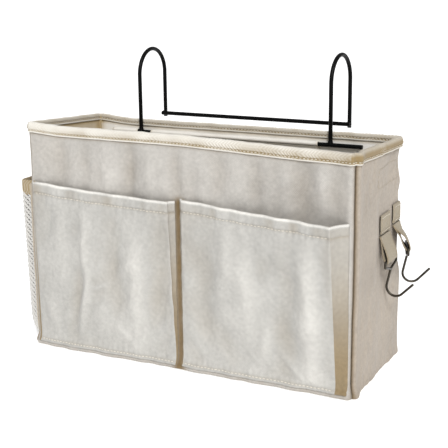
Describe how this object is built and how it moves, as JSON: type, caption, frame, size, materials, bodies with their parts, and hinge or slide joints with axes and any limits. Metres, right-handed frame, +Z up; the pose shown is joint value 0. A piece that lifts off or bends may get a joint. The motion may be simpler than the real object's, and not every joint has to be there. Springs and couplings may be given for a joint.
{
  "type": "hanging bedside caddy",
  "caption": "Upright canvas caddy bag with bellows front pockets, a net side pocket, side hooks and a wire hanger that folds over a rail.",
  "frame": {"origin": "centre of the base, on the plane that the caddy stands on", "axes": "+X to the right along the bag's length, +Y to the back where the hanger's hooks are, +Z up"},
  "size_m": [0.403, 0.2116, 0.3021],
  "materials": {
    "canvas": "natural cotton canvas, matt",
    "lining": "plain cotton lining, matt",
    "board": "stiff board",
    "binding": "herringbone twill tape",
    "net": "white knitted net",
    "webbing": "flat cotton webbing",
    "hook_steel": "dark nickel plated wire",
    "black_wire": "satin black powder coat"
  },
  "bodies": {
    "bag": {"front_panel": "canvas", "back_panel": "canvas", "left_side_panel": "canvas", "right_side_panel": "canvas", "base_panel": "canvas", "left_pocket_inner_gusset": "canvas", "left_pocket_outer_gusset": "canvas", "right_pocket_inner_gusset": "canvas", "right_pocket_outer_gusset": "canvas", "front_board": "board", "back_board": "board", "left_side_board": "board", "right_side_board": "board", "base_board": "board", "front_lining": "lining", "back_lining": "lining", "left_side_lining": "lining", "right_side_lining": "lining", "base_lining": "lining", "hanger_sleeve": "lining", "rim_binding": "binding", "net_pocket_front_gusset": "net", "net_pocket_rear_gusset": "net", "front_tab_base": "webbing", "rear_tab_base": "webbing"},
    "hanger": {"left_rail_hook": "black_wire", "right_rail_hook": "black_wire", "cross_bar": "black_wire", "foot_bar": "black_wire", "left_foot_weld": "black_wire", "right_foot_weld": "black_wire", "left_bar_weld": "black_wire", "right_bar_weld": "black_wire"},
    "left_pocket": {"left_pocket_face": "canvas"},
    "right_pocket": {"right_pocket_face": "canvas"},
    "net_pocket": {"net_pocket_net": "net", "net_pocket_band": "binding"},
    "front_loop": {"front_tab_loop": "webbing"},
    "rear_loop": {"rear_tab_loop": "webbing"},
    "front_hook": {"front_side_hook": "hook_steel"},
    "rear_hook": {"rear_side_hook": "hook_steel"}
  },
  "joints": [
    {"name": "hanger_pivot", "type": "hinge", "parent": "bag", "child": "hanger", "pos_m": [-0.008, 0.06095, 0.212], "axis": [1, 0, 0], "range_deg": [0, 180]},
    {"name": "left_pocket_flatten", "type": "hinge", "parent": "bag", "child": "left_pocket", "pos_m": [-0.086, -0.0685, 0.006], "axis": [-1, 0, 0], "range_deg": [0, 3.75], "deforming": ["left_pocket_inner_gusset", "left_pocket_outer_gusset"]},
    {"name": "right_pocket_flatten", "type": "hinge", "parent": "bag", "child": "right_pocket", "pos_m": [0.083, -0.0685, 0.006], "axis": [-1, 0, 0], "range_deg": [0, 8.6], "deforming": ["right_pocket_inner_gusset", "right_pocket_outer_gusset"]},
    {"name": "net_pocket_flatten", "type": "hinge", "parent": "bag", "child": "net_pocket", "pos_m": [-0.176, 0, 0.006], "axis": [0, 1, 0], "range_deg": [0, 5.2], "deforming": ["net_pocket_front_gusset", "net_pocket_rear_gusset"]},
    {"name": "front_loop_swing", "type": "hinge", "parent": "bag", "child": "front_loop", "pos_m": [0.1763, 0.0205, 0.1372], "axis": [0, -1, 0], "range_deg": [-2, 75]},
    {"name": "front_hook_swing", "type": "hinge", "parent": "front_loop", "child": "front_hook", "pos_m": [0.18277, 0.0205, 0.11305], "axis": [0, -1, 0], "range_deg": [-2, 60]},
    {"name": "rear_loop_swing", "type": "hinge", "parent": "bag", "child": "rear_loop", "pos_m": [0.17778, 0.052, 0.1407], "axis": [0.3746, -0.9272, 0], "range_deg": [-2, 75]},
    {"name": "rear_hook_swing", "type": "hinge", "parent": "rear_loop", "child": "rear_hook", "pos_m": [0.18758, 0.05596, 0.11804], "axis": [0.3746, -0.9272, 0], "range_deg": [-2, 60]}
  ]
}
